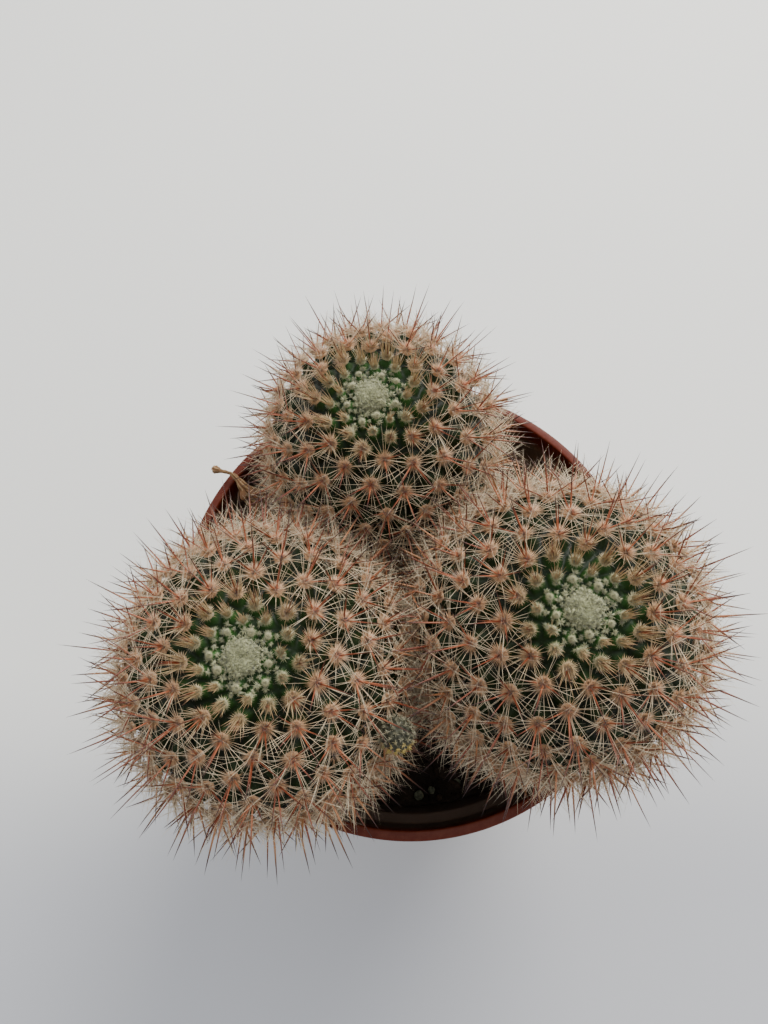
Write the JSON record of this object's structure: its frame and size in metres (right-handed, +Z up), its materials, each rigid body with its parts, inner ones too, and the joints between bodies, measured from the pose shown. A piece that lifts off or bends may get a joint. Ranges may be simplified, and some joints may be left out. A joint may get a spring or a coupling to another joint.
{
  "type": "potted round cactus",
  "caption": "Cluster of round spiny cacti with woolly crowns growing in a round plastic nursery pot of dark soil.",
  "frame": {"origin": "centre of the pot's foot, on the surface that it stands on", "axes": "+Z up along the pot's axis; -Y towards the side between the two larger plants; +X towards the right plant"},
  "size_m": [0.1087, 0.0981, 0.1107],
  "materials": {
    "pot_plastic": "satin",
    "potting_soil": "matte",
    "cactus_skin": "satin",
    "crown_wool": "matte",
    "areole_wool": "matte",
    "radial_spines": "satin",
    "central_spines": "satin",
    "young_growth": "matte",
    "dry_flower": "matte",
    "grit": "matte",
    "bark": "matte"
  },
  "bodies": {
    "root": {"pot": "pot_plastic", "soil": "potting_soil", "left_cactus": "cactus_skin", "right_cactus": "cactus_skin", "back_cactus": "cactus_skin", "left_crown_wool": "crown_wool", "right_crown_wool": "crown_wool", "back_crown_wool": "crown_wool", "young_offset": "young_growth", "withered_flower": "dry_flower", "grit_1": "grit", "grit_2": "grit", "grit_3": "grit", "bark_chip": "bark"}
  },
  "joints": []
}
